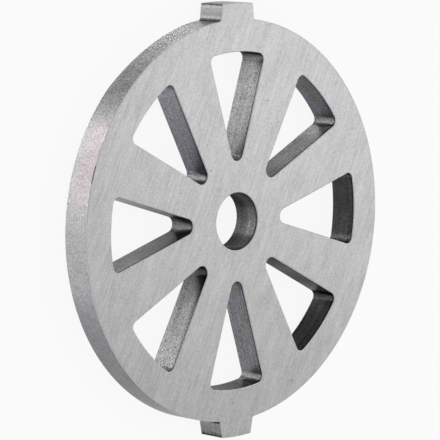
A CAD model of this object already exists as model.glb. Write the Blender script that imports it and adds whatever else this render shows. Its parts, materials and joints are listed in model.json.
import json
from math import asin, atan2, ceil, cos, degrees, pi, radians, sin, sqrt
from typing import NamedTuple

import bmesh
import bpy
from mathutils import Matrix, Vector, noise
from mathutils.geometry import delaunay_2d_cdt

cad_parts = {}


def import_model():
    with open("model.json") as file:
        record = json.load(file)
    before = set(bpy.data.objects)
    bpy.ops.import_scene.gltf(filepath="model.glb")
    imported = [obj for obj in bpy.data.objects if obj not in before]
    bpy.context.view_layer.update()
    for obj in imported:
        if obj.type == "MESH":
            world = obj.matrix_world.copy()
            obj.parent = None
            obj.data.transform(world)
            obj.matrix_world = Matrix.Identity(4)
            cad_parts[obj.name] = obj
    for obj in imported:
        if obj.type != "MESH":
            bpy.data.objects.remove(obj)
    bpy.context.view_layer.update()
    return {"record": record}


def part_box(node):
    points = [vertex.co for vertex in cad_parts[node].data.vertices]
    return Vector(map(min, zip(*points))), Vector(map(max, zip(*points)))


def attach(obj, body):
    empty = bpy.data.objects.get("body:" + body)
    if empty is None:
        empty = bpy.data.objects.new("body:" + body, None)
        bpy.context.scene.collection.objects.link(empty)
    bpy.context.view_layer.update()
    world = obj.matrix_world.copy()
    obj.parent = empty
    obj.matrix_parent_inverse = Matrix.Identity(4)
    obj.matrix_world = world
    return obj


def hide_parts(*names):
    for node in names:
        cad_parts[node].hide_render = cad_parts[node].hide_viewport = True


# The plate of a household meat grinder, lying on its lower face with its upper lug at +Y.
# Its outlines are worked out in millimetres and become metres as vertices are made.

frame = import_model()
MM = 0.001

# Sizes that the frame gives, in millimetres
cad_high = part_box("grinder_plate")[1] / MM
bore_mount = next(m for m in frame["record"]["mounts"] if m["name"] == "bore")
PLATE_RADIUS = cad_high.x
LUG_RADIUS = cad_high.y
THICKNESS = cad_high.z
BORE_RADIUS = bore_mount["dims"]["r_mm"]

# The wedge-shaped holes
HOLE_TIP_REACH = 8.45  # from the bore's axis to the tip of a hole
RIM_WIDTH = 4.5
HALF_SIDE_ANGLE = 17.25  # between a hole's side wall and its middle line
HOLE_TIP_RADIUS = 1.1
HOLE_CORNER_RADIUS = 0.9

# The lugs
LUG_ROOT_WIDTH = 6.4
UPPER_LUG_TIP_WIDTH = 5.9
LOWER_LUG_TIP_WIDTH = 5.5
LUG_CORNER_RADIUS = 0.2
LUG_ROOT_FILLET = 0.3

# The shallow flat worn across the lower edge of the rim
FLAT_DIRECTION = 118.0
FLAT_HEIGHT = 0.6
FLAT_SLOPE = 20.0
FLAT_HALF_WIDTH = 9.7

# The broken edges round both faces, uneven from hand work, and a nick in one of them
EDGE_RADIUS = 0.13
EDGE_UNEVENNESS = 0.03
EDGE_WAVE = 2.5
EDGE_LAYER = 7.0  # keeps the two faces' waves apart
NICK_DIRECTION = 162.4
NICK_HALF_LENGTH = 1.4
NICK_DEPTH = 0.01
NICK_FULL = 0.8  # the part of its length over which it is fully dark

# How dark each lug's flanks are, from root to end, then its corners and its end, from 0 to 1
UPPER_LUG_DARKNESS = ((0.0, 0.42, 0.38, 0.34, 0.0), 0.75, 0.0)
LOWER_LUG_DARKNESS = ((0.35, 0.5, 0.5, 0.85), 1.0, 0.3)

# How dark each hole is, counter-clockwise from the upper one: its tip, its clockwise wall towards
# the tip, its outer wall, its other wall away from the tip, and its outer corners
HOLE_DARKNESS = (
    (0.65, (0.6, 0.44, 0.5), 0.7, (0.5,), 0.72),
    (0.55, (0.14,), 0.7, (0.5,), 0.5),
    (0.76, (0.0, 0.3, 0.6), 0.7, (0.46,), 0.55),
    (0.9, (0.5,), 0.7, (0.65, 0.54, 0.38), 0.45),
    (0.57, (0.5,), 0.64, (0.5,), 0.6),
    (0.88, (0.6,), 0.96, (0.64, 0.8, 0.4), 0.95),
    (0.65, (0.6,), 0.97, (0.6,), 0.85),
    (0.68, (0.15, 0.55, 0.5), 0.52, (0.6,), 0.62),
)
# How dark the bore is in each direction, all the way round
BORE_DARKNESS = ((155, 0.8), (60, 0.7), (30, 0.82), (0, 0.74), (-30, 0.74), (-60, 0.79), (-205, 0.82))

# How finely the mesh follows all this
SPACING = 0.45  # along an outline
TOUCHING = 0.0045  # arcs whose ends are nearer than this meet
ARC_STEP = 9.0  # degrees of an arc
STEPS_A_TONE = 3  # for each value of a straight wall's darkness
EDGE_STEPS = 3
WALL_STEPS = 5
FACE_SPACING = 1.6
TRIANGLE_HEIGHT = sqrt(3) / 2  # of an even triangle, as a part of its side
WELD = 1e-6  # points of a face nearer than this are one


class Station(NamedTuple):
    """A point of an outline, the way out of the steel there, and how dark the wall is there."""

    point: Vector
    out: Vector
    dark: float


def polar(angle, length=1.0):
    return Vector((cos(radians(angle)), sin(radians(angle)))) * length


def angle_of(vector):
    return degrees(atan2(vector.y, vector.x))


def arc(centre, radius, start, end, dark=0.0, dark_end=None):
    """Stations along an arc. The steel lies inside it if it runs counter-clockwise, else outside."""
    sweep = end - start
    steps = ceil(max(abs(sweep) / ARC_STEP, abs(radians(sweep)) * radius / SPACING, 2))
    side = 1 if sweep > 0 else -1
    change = 0.0 if dark_end is None else dark_end - dark
    stations = []
    for i in range(steps + 1):
        out = polar(start + sweep * i / steps)
        stations.append(Station(centre + out * radius, out * side, dark + change * i / steps))
    return stations


def along(values, part):
    """The value this part of the way along a row of evenly spaced ones."""
    place = part * (len(values) - 1)
    i = min(int(place), len(values) - 2)
    return values[i] + (values[i + 1] - values[i]) * (place - i)


def joined(arcs, walls=()):
    """One closed outline of arcs. Straight walls, this dark along them, join those that don't meet."""
    walls = iter(walls)
    outline = []
    for here, after in zip(arcs, arcs[1:] + arcs[:1]):
        outline += here
        start, end = here[-1], after[0]
        gap = (end.point - start.point).length
        if gap < TOUCHING:
            outline.pop()
            continue
        darkness = next(walls)
        steps = max(ceil(gap / SPACING), STEPS_A_TONE * len(darkness))
        for i in range(1, steps):
            dark = along(darkness, i / steps)
            outline.append(Station(start.point.lerp(end.point, i / steps), start.out, dark))
    return outline


def turned(outline, angle):
    turn = Matrix.Rotation(radians(angle), 2)
    return [Station(turn @ s.point, turn @ s.out, s.dark) for s in outline]


def wedge_hole(tip, clockwise, outer, counter, corners):
    """The outline of a hole along +X, clockwise, with the darkness of each part of its wall."""
    outer_radius = PLATE_RADIUS - RIM_WIDTH
    side = radians(HALF_SIDE_ANGLE)
    apex = HOLE_TIP_REACH + HOLE_TIP_RADIUS - HOLE_TIP_RADIUS / sin(side)
    reach = outer_radius - HOLE_CORNER_RADIUS
    corner = HALF_SIDE_ANGLE - degrees(asin((HOLE_CORNER_RADIUS + apex * sin(side)) / reach))
    square = 90 + HALF_SIDE_ANGLE
    tip_centre = Vector((HOLE_TIP_REACH + HOLE_TIP_RADIUS, 0))
    centre = Vector((0, 0))
    arcs = [
        arc(centre, outer_radius, corner, -corner, outer),
        arc(polar(-corner, reach), HOLE_CORNER_RADIUS, -corner, -square, corners),
        arc(tip_centre, HOLE_TIP_RADIUS, -square, square - 360, tip),
        arc(polar(corner, reach), HOLE_CORNER_RADIUS, square, corner, corners),
    ]
    return joined(arcs, [(*clockwise, tip), (tip, *counter)])


def bore_outline():
    arcs = []
    for (start, dark), (end, dark_end) in zip(BORE_DARKNESS, BORE_DARKNESS[1:]):
        arcs.append(arc(Vector((0, 0)), BORE_RADIUS, start, end, dark, dark_end))
    return joined(arcs)


def where_line_reaches(start, direction, reach):
    """The point on the line from start that lies that far from the bore's axis."""
    offset = start.dot(direction)
    return start + direction * (sqrt(offset**2 - start.length_squared + reach**2) - offset)


def lug(tip_width, corners, end):
    """The arcs of a lug along +Y, from its right root to its left, its corners and end this dark."""
    root = Vector((LUG_ROOT_WIDTH / 2, sqrt(PLATE_RADIUS**2 - (LUG_ROOT_WIDTH / 2) ** 2)))
    tip = Vector((tip_width / 2, sqrt(LUG_RADIUS**2 - (tip_width / 2) ** 2)))
    flank = (tip - root).normalized()
    out = Vector((flank.y, -flank.x))
    fillet = where_line_reaches(root + out * LUG_ROOT_FILLET, flank, PLATE_RADIUS + LUG_ROOT_FILLET)
    corner = where_line_reaches(root - out * LUG_CORNER_RADIUS, flank, LUG_RADIUS - LUG_CORNER_RADIUS)
    fillet_start, fillet_end = angle_of(-fillet) % 360, angle_of(-out) % 360
    right = [
        arc(fillet, LUG_ROOT_FILLET, fillet_start, fillet_end, corners),
        arc(corner, LUG_CORNER_RADIUS, angle_of(out), angle_of(corner), corners),
    ]
    left = [
        arc(mirrored(corner), LUG_CORNER_RADIUS, 180 - angle_of(corner), 180 - angle_of(out), corners),
        arc(mirrored(fillet), LUG_ROOT_FILLET, 180 - fillet_end, 180 - fillet_start, corners),
    ]
    tip_arc = arc(Vector((0, 0)), LUG_RADIUS, angle_of(corner), 180 - angle_of(corner), end)
    return right + [tip_arc] + left


def mirrored(point):
    return Vector((-point.x, point.y))


def disc_outline():
    """The rim with both lugs, counter-clockwise."""
    upper_flank, *upper_rest = UPPER_LUG_DARKNESS
    lower_flank, *lower_rest = LOWER_LUG_DARKNESS
    upper = lug(UPPER_LUG_TIP_WIDTH, *upper_rest)
    lower = [turned(part, 180) for part in lug(LOWER_LUG_TIP_WIDTH, *lower_rest)]
    flanks = [upper_flank, upper_flank[::-1], lower_flank, lower_flank[::-1]]
    centre = Vector((0, 0))

    def rim(before, after):
        start, end = angle_of(before[-1][-1].point), angle_of(after[0][0].point)
        return arc(centre, PLATE_RADIUS, start, end + (360 if end < start else 0))

    return joined(upper + [rim(upper, lower)] + lower + [rim(lower, upper)], flanks)


def edge_radius(point, upper):
    """The rounding of the edge at this point, uneven, and deeper at the nick in the upper edge."""
    wave = noise.noise(Vector((point.x, point.y, EDGE_LAYER if upper else -EDGE_LAYER)) / EDGE_WAVE)
    radius = EDGE_RADIUS + EDGE_UNEVENNESS * wave
    nick = polar(NICK_DIRECTION, PLATE_RADIUS)
    away = (point - nick).length / NICK_HALF_LENGTH
    if upper and away < 1:
        radius += NICK_DEPTH * (1 - away**2)
    return radius


def section(point):
    """The wall at this point, from the upper face to the lower: inset, height and the normal's tilt."""
    upper, lower = edge_radius(point, True), edge_radius(point, False)
    turns = [pi / 2 * i / EDGE_STEPS for i in range(EDGE_STEPS + 1)]
    rows = [(upper * (1 - sin(t)), THICKNESS - upper * (1 - cos(t)), pi / 2 - t) for t in turns]
    wall = THICKNESS - upper - lower
    rows += [(0.0, THICKNESS - upper - wall * i / WALL_STEPS, 0.0) for i in range(1, WALL_STEPS)]
    rows += [(lower * (1 - sin(t)), lower * (1 - cos(t)), t - pi / 2) for t in reversed(turns)]
    return rows


class Plate:
    """The plate's mesh as it grows, with what the finish needs to know at each vertex."""

    # The bake's map: a square with one face in each of two corners and the walls in the other two
    MAP_SIDE = 98.0
    MAP_MARGIN = 0.8
    MAP_TURN = 45.0
    STRIP_PITCH = 5.75
    STRIPS_A_CORNER = 7
    STRIP_LENGTH = 39.4
    MOST_SQUEEZE = 1.1  # how much longer than its strip a stretch of wall may be

    def __init__(self):
        self.bm = bmesh.new()
        self.normal = self.bm.verts.layers.float_vector.new("normal")
        self.dark = self.bm.verts.layers.float.new("dark")
        self.uv = self.bm.loops.layers.uv.new("OFBake")
        self.strips = 0

    def vertex(self, x, y, z, normal, dark=0.0):
        vert = self.bm.verts.new(Vector((x, y, z)) * MM)
        vert[self.normal] = normal
        vert[self.dark] = dark
        return vert

    def face(self, verts, places):
        new = self.bm.faces.new(verts)
        new.smooth = True
        for loop, place in zip(new.loops, places):
            loop[self.uv].uv = Vector(place) / self.MAP_SIDE

    def face_place(self, x, y, upper):
        """Where a point of a face goes in the map. The lugs point at the corners with the walls."""
        place = polar(self.MAP_TURN) * x + polar(self.MAP_TURN + 90) * y
        middle = PLATE_RADIUS + self.MAP_MARGIN
        if upper:
            return place + Vector((middle, middle))
        return Vector((-place.x, place.y)) + Vector((self.MAP_SIDE - middle, self.MAP_SIDE - middle))

    def strip_corner(self):
        """The corner of the next free strip in the map."""
        column, row = divmod(self.strips, self.STRIPS_A_CORNER)
        self.strips += 1
        past_face = 2 * (PLATE_RADIUS + self.MAP_MARGIN)
        left = past_face if column == 0 else self.MAP_MARGIN
        low = self.MAP_MARGIN if column == 0 else past_face
        return Vector((left, low + row * self.STRIP_PITCH))

    def wall(self, outline):
        """The wall along an outline, with its rounded edges. Gives its outer rows, for the faces."""
        columns = []
        for station in outline:
            column = []
            for inset, height, tilt in section(station.point):
                place = station.point - station.out * inset
                flat = station.out * cos(tilt)
                column.append(self.vertex(*place, height, (*flat, sin(tilt)), station.dark))
            columns.append(column)
        columns.append(columns[0])
        lengths = [(b[0].co - a[0].co).length / MM for a, b in zip(columns, columns[1:])]
        chunks = ceil(sum(lengths) / (self.MOST_SQUEEZE * self.STRIP_LENGTH))
        size = ceil(len(lengths) / chunks)
        for first in range(0, len(lengths), size):
            self.strip(columns[first : first + size + 1], lengths[first : first + size])
        return [c[0] for c in columns[:-1]], [c[-1] for c in columns[:-1]]

    def strip(self, columns, lengths):
        """The faces between these columns, as one strip of the map."""
        corner = self.strip_corner()
        stretch = min(1.0, self.STRIP_LENGTH / sum(lengths))
        passed = 0.0
        for left, right, length in zip(columns, columns[1:], lengths):
            near, far = passed * stretch, (passed + length) * stretch
            down = 0.0
            for i in range(len(left) - 1):
                step = (left[i + 1].co - left[i].co).length / MM
                places = [(near, down + step), (far, down + step), (far, down), (near, down)]
                verts = [left[i + 1], right[i + 1], right[i], left[i]]
                self.face(verts, [corner + Vector(p) for p in places])
                down += step
            passed += length

    def flat_face(self, rings, height, upper):
        """A flat face between its outlines, in even triangles. The first outline is the outer one."""
        border = [v for ring in rings for v in ring]
        points = [v.co.xy / MM for v in border]
        loops, first = [], 0
        for ring in rings:
            loop = range(first, first + len(ring))
            loops.append(list(loop if ring is rings[0] else reversed(loop)))
            first += len(ring)
        points += face_points(points)
        verts = dict(enumerate(border))
        _, _, triangles, sources, _, owners = delaunay_2d_cdt(points, [], loops, 1, WELD)
        for triangle, inside in zip(triangles, owners):
            if inside != [0]:
                continue
            corners = []
            for i in triangle:
                source = sources[i][0]
                if source not in verts:
                    verts[source] = self.vertex(*points[source], height, (0, 0, 1 if upper else -1))
                corners.append(verts[source])
            if not upper:
                corners.reverse()
            self.face(corners, [self.face_place(*(v.co.xy / MM), upper) for v in corners])

    def worn_flat(self):
        """Cuts the shallow flat across the lower edge of the rim."""
        outward = polar(FLAT_DIRECTION).to_3d()
        across = polar(FLAT_DIRECTION + 90).to_3d()
        slope = radians(FLAT_SLOPE)
        normal = outward * sin(slope) - Vector((0, 0, cos(slope)))
        top = (outward * PLATE_RADIUS + Vector((0, 0, FLAT_HEIGHT))) * MM

        def worn(vert):
            return (vert.co - top).dot(normal) > 0 and abs(vert.co.dot(across)) < FLAT_HALF_WIDTH * MM

        faces = [f for f in self.bm.faces if any(worn(v) for v in f.verts)]
        edges = dict.fromkeys(e for f in faces for e in f.edges)
        verts = dict.fromkeys(v for f in faces for v in f.verts)
        cut = bmesh.ops.bisect_plane(
            self.bm, geom=[*faces, *edges, *verts], plane_co=top, plane_no=normal, clear_outer=True
        )
        border = [e for e in cut["geom_cut"] if isinstance(e, bmesh.types.BMEdge)]
        made = bmesh.ops.triangle_fill(self.bm, edges=border, use_beauty=True, normal=normal)
        new = [f for f in made["geom"] if isinstance(f, bmesh.types.BMFace)]
        for f in new:
            f.smooth = False
            for loop in f.loops:
                loop[self.uv].uv = self.face_place(*(loop.vert.co.xy / MM), False) / self.MAP_SIDE

    def build(self, name):
        self.bm.normal_update()
        mesh = bpy.data.meshes.new(name)
        normals = []
        for f in self.bm.faces:
            for loop in f.loops:
                normals.append(loop.vert[self.normal].normalized() if f.smooth else f.normal.copy())
        self.bm.to_mesh(mesh)
        self.bm.free()
        mesh.shade_smooth()
        mesh.normals_split_custom_set(normals)
        obj = bpy.data.objects.new(name, mesh)
        bpy.context.scene.collection.objects.link(obj)
        return obj


def face_points(outline_points):
    """Points in a triangular grid over the disc, clear of every outline."""
    rows = ceil(LUG_RADIUS / (FACE_SPACING * TRIANGLE_HEIGHT))
    columns = ceil(PLATE_RADIUS / FACE_SPACING)
    found = []
    for row in range(-rows, rows + 1):
        for column in range(-columns, columns + 1):
            point = Vector((column + row % 2 / 2, row * TRIANGLE_HEIGHT)) * FACE_SPACING
            if min((point - p).length for p in outline_points) > FACE_SPACING / 2:
                found.append(point)
    return found


def plate_piece():
    plate = Plate()
    outlines = [disc_outline()]
    for i, darkness in enumerate(HOLE_DARKNESS):
        outlines.append(turned(wedge_hole(*darkness), 90 + 360 * i / len(HOLE_DARKNESS)))
    outlines.append(bore_outline())
    rings = [plate.wall(outline) for outline in outlines]
    plate.flat_face([upper for upper, _ in rings], THICKNESS, True)
    plate.flat_face([lower for _, lower in rings], 0.0, False)
    plate.worn_flat()
    return plate.build("plate")


class Nodes:
    """A node tree, with short ways to add what the materials here need."""

    def __init__(self, tree):
        self.tree = tree
        tree.nodes.clear()

    def add(self, kind, **values):
        node = self.tree.nodes.new(kind)
        for name, value in values.items():
            setattr(node, name, value)
        return node

    def set(self, socket, value):
        """Links a socket to another's output, or writes a plain value into it."""
        if isinstance(value, bpy.types.NodeSocket):
            self.tree.links.new(value, socket)
        else:
            socket.default_value = value

    def math(self, operation, *values):
        node = self.add("ShaderNodeMath", operation=operation)
        for socket, value in zip(node.inputs, values):
            self.set(socket, value)
        return node.outputs[0]

    def step(self, value, low, high):
        """0 at low and beyond, 1 at high and beyond, and smooth between. Either may be the larger."""
        node = self.add("ShaderNodeMapRange", interpolation_type="SMOOTHSTEP")
        for name, limit in (("Value", value), ("From Min", low), ("From Max", high)):
            self.set(node.inputs[name], limit)
        return node.outputs["Result"]

    def blend(self, factor, a, b):
        node = self.add("ShaderNodeMix", data_type="FLOAT")
        for name, value in (("Factor", factor), ("A", a), ("B", b)):
            self.set(node.inputs[name], value)
        return node.outputs["Result"]

    def tint(self, factor, a, b):
        """As blend, for colours."""
        node = self.add("ShaderNodeMix", data_type="RGBA")
        for name, value in (("Factor", factor), ("A", a), ("B", b)):
            self.set(node.inputs[name], value)
        return node.outputs["Result"]

    def noise(self, place, size, detail=2.0, roughness=0.5):
        """Noise with features of about this size in millimetres, from 0 to 1."""
        node = self.add("ShaderNodeTexNoise")
        self.set(node.inputs["Vector"], place)
        self.set(node.inputs["Scale"], 1 / (size * MM))
        self.set(node.inputs["Detail"], detail)
        self.set(node.inputs["Roughness"], roughness)
        return node.outputs["Fac"]

    def turned(self, place, angle):
        """Coordinates turned about +Z, so that X runs along this direction."""
        node = self.add("ShaderNodeVectorRotate", rotation_type="Z_AXIS")
        self.set(node.inputs["Vector"], place)
        self.set(node.inputs["Angle"], radians(-angle))
        return node.outputs["Vector"]

    def stretched(self, place, factors):
        """Coordinates times these factors. What is made from them is longer where a factor is small."""
        node = self.add("ShaderNodeVectorMath", operation="MULTIPLY")
        self.set(node.inputs[0], place)
        self.set(node.inputs[1], factors)
        return node.outputs["Vector"]

    def parts(self, vector):
        node = self.add("ShaderNodeSeparateXYZ")
        self.set(node.inputs[0], vector)
        return node.outputs


def grey(level):
    return (level, level, level, 1.0)


# The steel's finish. A tone is a base colour, and a darkness of 1 takes a wall to SCALE_TONE.
FACE_TONE = 0.43
FACE_CONTRAST = 1.2
FACE_ROUGHNESS = 0.42
FACE_RELIEF = 0.004  # in millimetres, as WALL_RELIEF
WALL_TONE = 0.27
WALL_CONTRAST = 3.5
WALL_ROUGHNESS = 0.3
WALL_RELIEF = 0.012
WALL_METAL = 0.8
WALL_GLOSS = 0.6  # the tint of a wall's highlights, and DARK_GLOSS that of a dark wall's
RIM_TONE = 0.24
RIM_CONTRAST = 2.3
RIM_STARTS = (27.3, 27.8)  # from the bore's axis
SCALE_TONE = 0.02
DARK_ROUGHNESS = 0.34
DARK_GLOSS = 0.35
EDGE_TONE = 0.62
NICK_TONE = 0.06

# The noises of the finish: size in millimetres, detail and, where it isn't 0.5, roughness
SPECKLE = (0.2, 1.0)
STREAK = (0.22, 2.0, 0.6)
STREAK_STRETCH = (0.06, 1.0, 1.0)
STREAK_DIRECTION = 64.5  # of the grinding marks on the faces, from +X
CLOUD = (1.8, 2.0)
CLOUD_STRETCH = (0.4, 1.0, 1.0)
FACE_WEIGHTS = (0.45, 0.45, 0.2)  # of speckle, streak and cloud
GRAIN = (0.25, 3.0, 0.65)
BLOTCH = (1.5, 2.0)
LINES = (0.3, 1.0)
LINES_STRETCH = (0.04, 0.04, 1.0)
WALL_WEIGHTS = (0.8, 0.12, 0.45)  # of grain, blotch and lines
PITS = (0.45, 0.0)
PIT_LIMITS = (0.84, 0.9)
MIDDLE = 0.5  # of every noise

# From which height of the normal to which a face starts, an edge starts and an edge ends
FACE_STARTS = (0.8, 0.99)
EDGE_STARTS = (0.1, 0.5)
EDGE_ENDS = (0.98, 0.8)

# A coarser grain on a part of the rim, by the direction that the rim faces: full within the first
# angle from it, and gone beyond the second
MOTTLED_DIRECTION = 128.0
MOTTLED_ANGLES = (8, 24)
MOTTLED_RIM_CONTRAST = 4.4

# What darkens the steel by this factor: pits, the burr along the top of the walls, the bore's depth
PIT_SHADE = 0.6
BURR_SHADE = 0.45
BURR_HEIGHTS = (3.8, 4.05)
DEPTH_SHADE = 0.5
DEPTH_HEIGHTS = (3.2, 0.8)
DEPTH_REACH = (5.0, 4.6)  # from the bore's axis

# The faint tints, by the direction that the steel faces and angles from it
WARM_DIRECTION = 159.0
WARM_ANGLES = (10, 15)
WARM_HEIGHTS = (0.6, 1.6)
WARM_TINT = (1.07, 0.96, 0.985, 1.0)
COOL_DIRECTION = 210.0
COOL_ANGLES = (5, 22)
COOL_LIMITS = (0.35, 0.6)
COOL_RIM_SHARE = 0.3
COOL_TINT = (0.98, 0.97, 1.16, 1.0)


def weighted(n, noises, weights):
    """The sum of noises about their middle, each times its weight."""
    total = None
    for value, weight in zip(noises, weights):
        part = n.math("MULTIPLY", n.math("SUBTRACT", value, MIDDLE), weight)
        total = part if total is None else n.math("ADD", total, part)
    return total


def facing(n, normal, direction, narrow, wide):
    """1 where the surface faces within the narrow angle of this direction, 0 beyond the wide one."""
    node = n.add("ShaderNodeVectorMath", operation="DOT_PRODUCT")
    n.set(node.inputs[0], normal)
    n.set(node.inputs[1], polar(direction).to_3d())
    return n.step(node.outputs["Value"], cos(radians(wide)), cos(radians(narrow)))


def between(n, value, limits):
    """0 at the first of these limits in millimetres, 1 at the second."""
    return n.step(value, limits[0] * MM, limits[1] * MM)


class Spot:
    """What the finish reads at each spot of the steel: where it is, what it is part of, its grain."""

    def __init__(self, n):
        coords = n.add("ShaderNodeTexCoord")
        self.place = coords.outputs["Object"]
        self.normal = coords.outputs["Normal"]
        x, y, self.z = n.parts(self.place)
        squares = n.math("ADD", n.math("MULTIPLY", x, x), n.math("MULTIPLY", y, y))
        self.radius = n.math("SQRT", squares)
        up = n.math("ABSOLUTE", n.parts(self.normal)[2])
        self.face = n.step(up, *FACE_STARTS)
        self.edge = n.math("MULTIPLY", n.step(up, *EDGE_STARTS), n.step(up, *EDGE_ENDS))
        self.rim = between(n, self.radius, RIM_STARTS)
        self.dark = n.add("ShaderNodeAttribute", attribute_name="dark").outputs["Fac"]
        self.grain = n.noise(self.place, *GRAIN)
        self.blotch = n.noise(self.place, *BLOTCH)


def face_marks(n, spot):
    """The speckle, grinding marks and clouding of the faces."""
    lengthwise = n.turned(spot.place, STREAK_DIRECTION)
    speckle = n.noise(spot.place, *SPECKLE)
    streak = n.noise(n.stretched(lengthwise, STREAK_STRETCH), *STREAK)
    cloud = n.noise(n.stretched(lengthwise, CLOUD_STRETCH), *CLOUD)
    return weighted(n, (speckle, streak, cloud), FACE_WEIGHTS)


def wall_marks(n, spot):
    """The grain and blotches of the walls, with lengthwise lines where they are dark."""
    lines = n.noise(n.stretched(spot.place, LINES_STRETCH), *LINES)
    dark_lines = n.blend(spot.dark, MIDDLE, lines)
    return weighted(n, (spot.grain, spot.blotch, dark_lines), WALL_WEIGHTS)


def wall_tone(n, spot):
    mottled = facing(n, spot.normal, MOTTLED_DIRECTION, *MOTTLED_ANGLES)
    rim_contrast = n.blend(mottled, RIM_CONTRAST, MOTTLED_RIM_CONTRAST)
    contrast = n.blend(spot.rim, WALL_CONTRAST, rim_contrast)
    tone = n.blend(spot.dark, n.blend(spot.rim, WALL_TONE, RIM_TONE), SCALE_TONE)
    tone = n.math("MULTIPLY", tone, n.math("MULTIPLY_ADD", wall_marks(n, spot), contrast, 1.0))
    off_rim = n.math("SUBTRACT", 1.0, spot.rim)
    burr = n.math("MULTIPLY", between(n, spot.z, BURR_HEIGHTS), off_rim)
    tone = n.math("MULTIPLY", tone, n.blend(burr, 1.0, BURR_SHADE))
    bore = between(n, spot.radius, DEPTH_REACH)
    deep = n.math("MULTIPLY", bore, between(n, spot.z, DEPTH_HEIGHTS))
    return n.math("MULTIPLY", tone, n.blend(deep, 1.0, DEPTH_SHADE))


def edge_tone(n, spot):
    """The bright broken edges, and the dark nick in one of them."""
    away = n.add("ShaderNodeVectorMath", operation="DISTANCE")
    n.set(away.inputs[0], spot.place)
    n.set(away.inputs[1], (*(polar(NICK_DIRECTION, PLATE_RADIUS) * MM), THICKNESS * MM))
    nicked = between(n, away.outputs["Value"], (NICK_HALF_LENGTH, NICK_FULL * NICK_HALF_LENGTH))
    return n.blend(nicked, EDGE_TONE, NICK_TONE)


def tint(n, spot):
    """A warm patch on the rim, and a cool cast where the steel faces down and left in the picture."""
    warm_side = facing(n, spot.normal, WARM_DIRECTION, *WARM_ANGLES)
    warm = n.math("MULTIPLY", warm_side, between(n, spot.z, WARM_HEIGHTS))
    warm = n.math("MULTIPLY", spot.rim, warm)
    patch = n.blend(spot.rim, n.step(spot.blotch, *COOL_LIMITS), COOL_RIM_SHARE)
    cool = n.math("MULTIPLY", patch, facing(n, spot.normal, COOL_DIRECTION, *COOL_ANGLES))
    return n.tint(cool, n.tint(warm, grey(1.0), WARM_TINT), COOL_TINT)


def colour(n, spot, face_grain):
    face_tone = n.math("MULTIPLY_ADD", face_grain, FACE_CONTRAST * FACE_TONE, FACE_TONE)
    tone = n.blend(spot.edge, n.blend(spot.face, wall_tone(n, spot), face_tone), edge_tone(n, spot))
    pit = n.step(n.noise(spot.place, *PITS), *PIT_LIMITS)
    tone = n.math("MULTIPLY", tone, n.blend(pit, 1.0, PIT_SHADE))
    node = n.add("ShaderNodeVectorMath", operation="SCALE")
    n.set(node.inputs[0], tint(n, spot))
    n.set(node.inputs["Scale"], tone)
    return node.outputs["Vector"]


def relief(n, spot, face_grain):
    """The normal, roughened by the grain."""
    wall = n.math("MULTIPLY", spot.grain, WALL_RELIEF * MM)
    face = n.math("MULTIPLY", face_grain, FACE_RELIEF * MM)
    bump = n.add("ShaderNodeBump")
    n.set(bump.inputs["Height"], n.blend(spot.face, wall, face))
    n.set(bump.inputs["Distance"], 1.0)
    return bump.outputs[0]


def steel():
    material = bpy.data.materials.new("ground_steel")
    material.use_nodes = True
    n = Nodes(material.node_tree)
    spot = Spot(n)
    face_grain = face_marks(n, spot)
    metal = n.math("MAXIMUM", spot.face, n.math("MAXIMUM", spot.edge, spot.dark))
    wall_roughness = n.blend(spot.dark, WALL_ROUGHNESS, DARK_ROUGHNESS)
    gloss = n.blend(spot.dark, WALL_GLOSS, DARK_GLOSS)
    shader = n.add("ShaderNodeBsdfPrincipled")
    n.set(shader.inputs["Base Color"], colour(n, spot, face_grain))
    n.set(shader.inputs["Metallic"], n.blend(metal, WALL_METAL, 1.0))
    n.set(shader.inputs["Roughness"], n.blend(spot.face, wall_roughness, FACE_ROUGHNESS))
    n.set(shader.inputs["Specular Tint"], n.blend(spot.face, gloss, 1.0))
    n.set(shader.inputs["Normal"], relief(n, spot, face_grain))
    out = n.add("ShaderNodeOutputMaterial")
    n.set(out.inputs["Surface"], shader.outputs[0])
    return material


def seen_rays(n):
    """1 for a ray that shows the background: straight from the camera, or by way of metal or glass."""
    path = n.add("ShaderNodeLightPath")
    shown = n.math("MAXIMUM", path.outputs["Is Camera Ray"], path.outputs["Is Glossy Ray"])
    return n.math("MAXIMUM", shown, path.outputs["Is Transmission Ray"])


FLOOR_HALF_SIDE = 3.0
FLOOR_TONE = 0.8
FLOOR_WHITE_SHARE = 0.9  # of the floor where it shows as background, which still takes the shadow


def pale_paint():
    material = bpy.data.materials.new("pale_floor")
    material.use_nodes = True
    n = Nodes(material.node_tree)
    paint = n.add("ShaderNodeBsdfDiffuse")
    n.set(paint.inputs["Color"], grey(FLOOR_TONE))
    glow = n.add("ShaderNodeEmission")
    n.set(glow.inputs["Strength"], 1.0)
    mixed = n.add("ShaderNodeMixShader")
    n.set(mixed.inputs[0], n.math("MULTIPLY", seen_rays(n), FLOOR_WHITE_SHARE))
    n.set(mixed.inputs[1], paint.outputs[0])
    n.set(mixed.inputs[2], glow.outputs[0])
    out = n.add("ShaderNodeOutputMaterial")
    n.set(out.inputs["Surface"], mixed.outputs[0])
    return material


def floor():
    """A pale floor. It casts no shadow, so that the low lamps reach the plate through it."""
    side = FLOOR_HALF_SIDE
    mesh = bpy.data.meshes.new("floor")
    corners = [(-side, -side, 0), (side, -side, 0), (side, side, 0), (-side, side, 0)]
    mesh.from_pydata(corners, [], [(0, 1, 2, 3)])
    mesh.materials.append(pale_paint())
    obj = bpy.data.objects.new("floor", mesh)
    bpy.context.scene.collection.objects.link(obj)
    obj.visible_shadow = False


HORIZON = (0.06, 0.3)  # where the sky turns from white to its own tone, by the direction's height
SKY_TONE = 0.7


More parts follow.
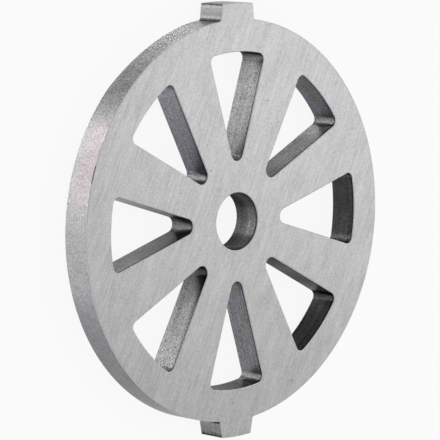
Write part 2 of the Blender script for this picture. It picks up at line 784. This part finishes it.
def world():
    w = bpy.data.worlds.new("studio")
    bpy.context.scene.world = w
    w.use_nodes = True
    n = Nodes(w.node_tree)
    coords = n.add("ShaderNodeTexCoord")
    height = n.step(n.parts(coords.outputs["Generated"])[2], *HORIZON)
    background = n.add("ShaderNodeBackground")
    n.set(background.inputs["Color"], n.tint(height, grey(1.0), grey(SKY_TONE)))
    out = n.add("ShaderNodeOutputWorld")
    n.set(out.inputs["Surface"], background.outputs[0])


# The lamps' azimuths and powers. The low ones stand below the floor's level, which in the picture
# is behind the plate, and light its walls by reflection.
LOW_LAMPS = (
    (48, 0.1),
    (70, 0.055),
    (130, 0.16),
    (140, 0.13),
    (160, 0.165),
    (175, 0.11),
    (190, 0.065),
    (207, 0.07),
    (222, 0.05),
)
LOW_ELEVATION, LOW_DISTANCE, LOW_SIZE = -42, 0.5, 0.14
HIGH_LAMPS = ((0, 0.07), (20, 0.025))
HIGH_ELEVATION, HIGH_DISTANCE, HIGH_SIZE = 45, 0.3, 0.12


def sight_line(azimuth, elevation):
    a, e = radians(azimuth), radians(elevation)
    return Vector((cos(e) * cos(a), cos(e) * sin(a), sin(e)))


def lamp(name, azimuth, elevation, distance, size, power):
    """A square lamp that shines on the plate. Importance sampling would lose it behind the floor."""
    data = bpy.data.lights.new(name, "AREA")
    data.shape = "SQUARE"
    data.size = size
    data.energy = power
    data.cycles.use_multiple_importance_sampling = False
    obj = bpy.data.objects.new(name, data)
    outward = sight_line(azimuth, elevation)
    obj.location = outward * distance
    obj.rotation_euler = outward.to_track_quat("Z", "Y").to_euler()
    bpy.context.scene.collection.objects.link(obj)


# The photograph's camera. Its angles are in degrees, and its target and distance in millimetres.
CAMERA_TARGET = Vector((-1.259, 0.107, 2.15))
CAMERA_AZIMUTH = 169.923
CAMERA_ELEVATION = 45.339
CAMERA_DISTANCE = 437.73
CAMERA_ROLL = 97.321
CAMERA_LENS = 258.44
CAMERA_SENSOR = 36.0


def camera():
    """The photograph's long lens, looking down on the upper face, with +Y up in the picture."""
    data = bpy.data.cameras.new("camera")
    data.sensor_width = CAMERA_SENSOR
    data.lens = CAMERA_LENS
    data.clip_start = 0.01
    data.clip_end = 50.0
    obj = bpy.data.objects.new("camera", data)
    outward = sight_line(CAMERA_AZIMUTH, CAMERA_ELEVATION)
    roll = Matrix.Rotation(radians(CAMERA_ROLL), 3, "Z")
    turn = outward.to_track_quat("Z", "Y").to_matrix() @ roll
    eye = CAMERA_TARGET * MM + outward * (CAMERA_DISTANCE * MM)
    obj.matrix_world = Matrix.Translation(eye) @ turn.to_4x4()
    bpy.context.scene.collection.objects.link(obj)
    bpy.context.scene.camera = obj


camera()
floor()
world()
for azimuth, power in LOW_LAMPS:
    lamp("low_" + str(azimuth), azimuth, LOW_ELEVATION, LOW_DISTANCE, LOW_SIZE, power)
for azimuth, power in HIGH_LAMPS:
    lamp("high_" + str(azimuth), azimuth, HIGH_ELEVATION, HIGH_DISTANCE, HIGH_SIZE, power)
plate = plate_piece()
plate.data.materials.append(steel())
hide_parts("grinder_plate")
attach(plate, "root")

bpy.context.scene.view_settings.view_transform = "Standard"
